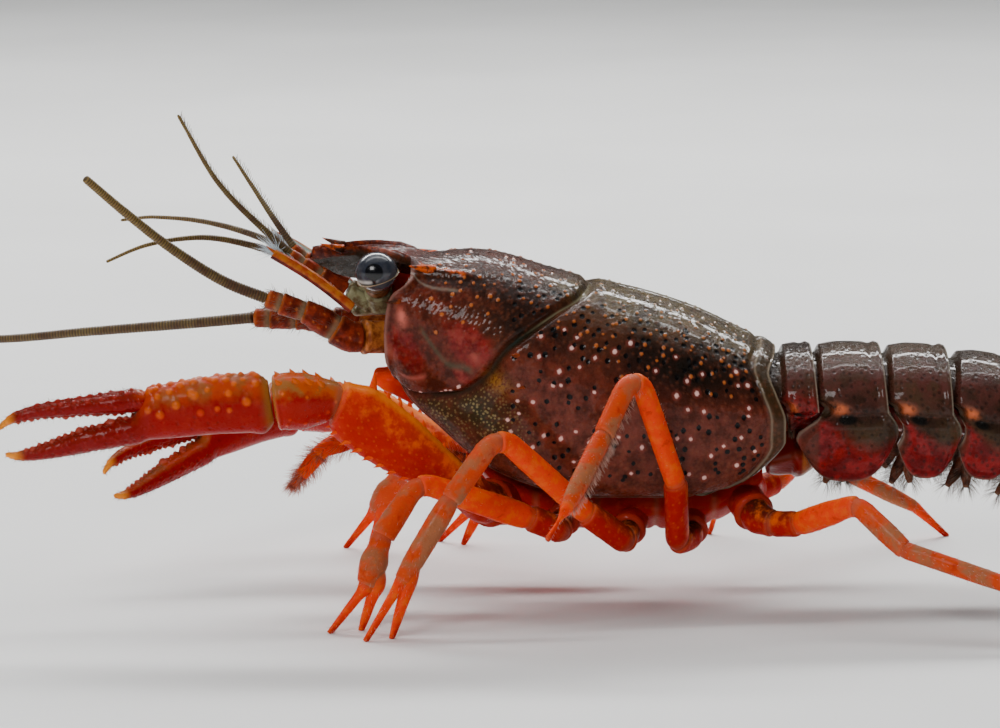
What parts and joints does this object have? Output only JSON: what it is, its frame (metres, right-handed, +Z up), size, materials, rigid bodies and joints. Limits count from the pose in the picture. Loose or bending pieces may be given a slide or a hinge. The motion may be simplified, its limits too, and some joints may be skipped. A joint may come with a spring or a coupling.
{
  "type": "crayfish model",
  "caption": "Still life-size model of a red swamp crayfish walking, with raised head, open claws and outstretched tail.",
  "frame": {"origin": "middle of the box's footprint, at the height of the feet", "axes": "+X towards the tail, -X towards the head and claws, -Y the animal's left side, +Z up"},
  "size_m": [0.1398, 0.0728, 0.0454],
  "materials": {
    "brown_shell": "wet-looking dark brown and maroon shell",
    "orange_limb": "orange-red limb shell",
    "red_claw": "deep red claw shell with orange knobs",
    "olive_feeler": "olive-brown ringed feeler",
    "pale_membrane": "pale stalks and feeler blades",
    "grey_eye": "smooth blue-grey eye"
  },
  "bodies": {
    "root": {"carapace": "brown_shell", "face": "brown_shell", "telson": "brown_shell", "uropod_left_inner": "brown_shell", "uropod_left_outer": "brown_shell", "uropod_right_inner": "brown_shell", "uropod_right_outer": "brown_shell", "tail_segment_1": "brown_shell", "tail_segment_2": "brown_shell", "tail_segment_3": "brown_shell", "tail_segment_4": "brown_shell", "tail_segment_5": "brown_shell", "tail_segment_6": "brown_shell", "thorax_underside": "orange_limb", "mouthparts": "orange_limb", "maxilliped_left": "orange_limb", "maxilliped_right": "orange_limb", "antenna_base_left": "orange_limb", "antenna_base_right": "orange_limb", "cheliped_left_ischium": "orange_limb", "cheliped_left_merus": "orange_limb", "leg_2_left_upper": "orange_limb", "leg_2_left_lower": "orange_limb", "leg_3_left_upper": "orange_limb", "leg_3_left_lower": "orange_limb", "leg_4_left_upper": "orange_limb", "leg_4_left_lower": "orange_limb", "leg_5_left_upper": "orange_limb", "leg_5_left_lower": "orange_limb", "cheliped_right_ischium": "orange_limb", "cheliped_right_merus": "orange_limb", "leg_2_right_upper": "orange_limb", "leg_2_right_lower": "orange_limb", "leg_3_right_upper": "orange_limb", "leg_3_right_lower": "orange_limb", "leg_4_right_upper": "orange_limb", "leg_4_right_lower": "orange_limb", "leg_5_right_upper": "orange_limb", "leg_5_right_lower": "orange_limb", "cheliped_left_carpus": "red_claw", "cheliped_left_palm": "red_claw", "cheliped_left_finger": "red_claw", "cheliped_right_carpus": "red_claw", "cheliped_right_palm": "red_claw", "cheliped_right_finger": "red_claw", "antenna_left": "olive_feeler", "antenna_right_inner": "olive_feeler", "antenna_right_outer": "olive_feeler", "antennule_left": "olive_feeler", "antennule_right": "olive_feeler", "eyestalk_left": "pale_membrane", "eyestalk_right": "pale_membrane", "antennal_scale_left": "pale_membrane", "antennal_scale_right": "pale_membrane", "tail_root": "pale_membrane", "eye_left": "grey_eye", "eye_right": "grey_eye"}
  },
  "joints": []
}
